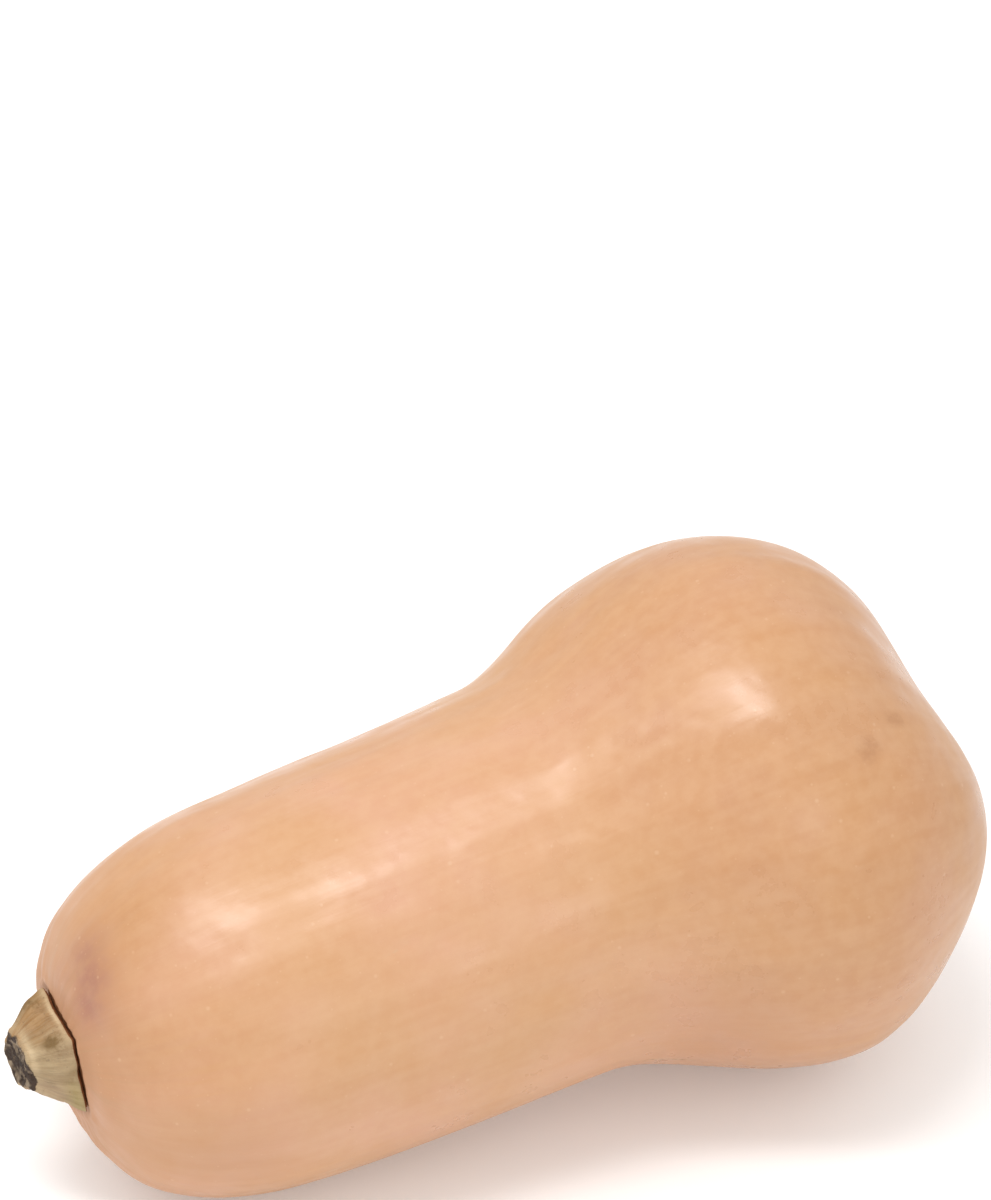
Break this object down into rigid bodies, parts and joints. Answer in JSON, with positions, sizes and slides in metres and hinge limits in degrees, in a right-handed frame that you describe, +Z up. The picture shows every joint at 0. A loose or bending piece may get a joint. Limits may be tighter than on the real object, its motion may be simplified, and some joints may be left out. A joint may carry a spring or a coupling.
{
  "type": "butternut squash",
  "caption": "Whole butternut squash lying on its side: a long neck that swells into a round bulb, with a dry woody stub of stem on the narrow end.",
  "frame": {"origin": "on the surface that it lies on, under the middle of the whole squash's box", "axes": "+X along its length, from the stem end to the blossom end; +Z up"},
  "size_m": [0.2152, 0.1212, 0.1178],
  "materials": {
    "rind": "satin tan rind with a soft waxy sheen",
    "stem": "dry, matt, fibrous stalk"
  },
  "bodies": {
    "root": {"fruit": "rind", "stem": "stem"}
  },
  "joints": []
}
